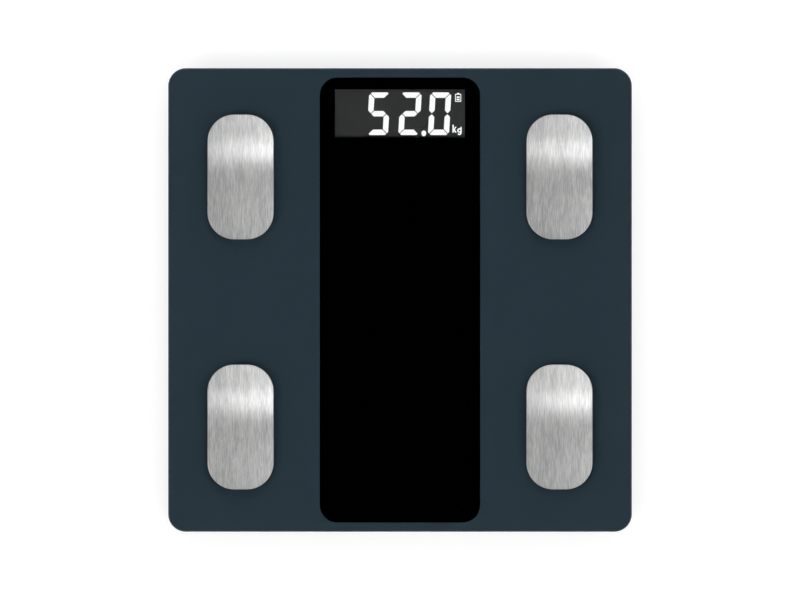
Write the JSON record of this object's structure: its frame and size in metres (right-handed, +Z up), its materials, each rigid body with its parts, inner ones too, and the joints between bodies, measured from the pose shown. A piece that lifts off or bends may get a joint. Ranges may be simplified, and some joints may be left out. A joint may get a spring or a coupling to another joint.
{
  "type": "digital bathroom scale",
  "caption": "Square glass-topped electronic bathroom scale with steel body-composition electrodes, a lit display and a plastic base on sprung load-cell feet.",
  "frame": {"origin": "on the floor, under the middle of the glass platform", "axes": "+Z up, +Y towards the display end where the toes stand, +X to the right of the person who stands on it"},
  "size_m": [0.26, 0.26, 0.0247],
  "materials": {
    "glass": "tempered, polished edge",
    "slate_ink": "printed on the back of the glass",
    "black_ink": "printed on the back of the glass",
    "electrode_steel": "brushed along the length",
    "black_plastic": "fine spark texture",
    "foot_rubber": "moulded",
    "glue": "cured silicone",
    "stamped_steel": "stamped and nickel plated",
    "white_plastic": "moulded",
    "battery_sleeve": "plain sleeve with no print",
    "contact_nickel": "nickel plated",
    "board": "solder mask",
    "lcd_glass": "polariser over the cell",
    "light_guide": "clear",
    "foam": "closed-cell foam",
    "epoxy": "cured drop",
    "lead_sleeve": "extruded insulation"
  },
  "bodies": {
    "root": {"glass_platform": "glass", "slate_ink": "slate_ink", "black_ink": "black_ink", "glue_bead": "glue", "base_housing": "black_plastic", "electrode_toe_left": "electrode_steel", "electrode_nut_toe_left": "contact_nickel", "electrode_lead_toe_left": "lead_sleeve", "electrode_toe_right": "electrode_steel", "electrode_nut_toe_right": "contact_nickel", "electrode_lead_toe_right": "lead_sleeve", "electrode_heel_left": "electrode_steel", "electrode_nut_heel_left": "contact_nickel", "electrode_lead_heel_left": "lead_sleeve", "electrode_heel_right": "electrode_steel", "electrode_nut_heel_right": "contact_nickel", "electrode_lead_heel_right": "lead_sleeve", "load_cell_bracket_toe_left": "white_plastic", "load_cell_lead_toe_left": "lead_sleeve", "load_cell_bracket_toe_right": "white_plastic", "load_cell_lead_toe_right": "lead_sleeve", "load_cell_bracket_heel_left": "white_plastic", "load_cell_lead_heel_left": "lead_sleeve", "load_cell_bracket_heel_right": "white_plastic", "load_cell_lead_heel_right": "lead_sleeve", "battery_1": "battery_sleeve", "battery_2": "battery_sleeve", "battery_3": "battery_sleeve", "positive_contact": "contact_nickel", "bridge_contact_far": "contact_nickel", "bridge_contact_near": "contact_nickel", "negative_contact": "contact_nickel", "battery_lead_positive": "lead_sleeve", "battery_lead_negative": "lead_sleeve", "circuit_board": "board", "controller_blob": "epoxy", "backlight_panel": "light_guide", "lcd_panel": "lcd_glass", "display_frame": "black_plastic", "display_gasket": "foam", "switch_body": "black_plastic", "board_screw_1": "contact_nickel", "board_screw_2": "contact_nickel", "board_screw_3": "contact_nickel", "board_screw_4": "contact_nickel"},
    "foot_toe_left": {"foot_cap_toe_left": "black_plastic", "foot_pad_toe_left": "foot_rubber", "load_cell_toe_left": "stamped_steel"},
    "foot_toe_right": {"foot_cap_toe_right": "black_plastic", "foot_pad_toe_right": "foot_rubber", "load_cell_toe_right": "stamped_steel"},
    "foot_heel_left": {"foot_cap_heel_left": "black_plastic", "foot_pad_heel_left": "foot_rubber", "load_cell_heel_left": "stamped_steel"},
    "foot_heel_right": {"foot_cap_heel_right": "black_plastic", "foot_pad_heel_right": "foot_rubber", "load_cell_heel_right": "stamped_steel"},
    "battery_door": {"battery_door": "black_plastic"},
    "unit_button": {"unit_button": "white_plastic", "switch_plunger": "white_plastic"}
  },
  "joints": [
    {"name": "foot_travel_toe_left", "type": "slide", "parent": "root", "child": "foot_toe_left", "axis": [0, 0, 1], "range_m": [0, 0.0005], "stiffness_N_per_m": 20000, "springref_m": -0.0003},
    {"name": "foot_travel_toe_right", "type": "slide", "parent": "root", "child": "foot_toe_right", "axis": [0, 0, 1], "range_m": [0, 0.0005], "stiffness_N_per_m": 20000, "springref_m": -0.0003},
    {"name": "foot_travel_heel_left", "type": "slide", "parent": "root", "child": "foot_heel_left", "axis": [0, 0, 1], "range_m": [0, 0.0005], "stiffness_N_per_m": 20000, "springref_m": -0.0003},
    {"name": "foot_travel_heel_right", "type": "slide", "parent": "root", "child": "foot_heel_right", "axis": [0, 0, 1], "range_m": [0, 0.0005], "stiffness_N_per_m": 20000, "springref_m": -0.0003},
    {"name": "unit_button_press", "type": "slide", "parent": "root", "child": "unit_button", "axis": [0, 0, 1], "range_m": [0, 0.0004], "stiffness_N_per_m": 4000, "springref_m": -0.0001},
    {"name": "battery_door_hinge", "type": "hinge", "parent": "root", "child": "battery_door", "pos_m": [0, -0.05005, 0.004], "axis": [-1, 0, 0], "range_deg": [0, 75]}
  ]
}
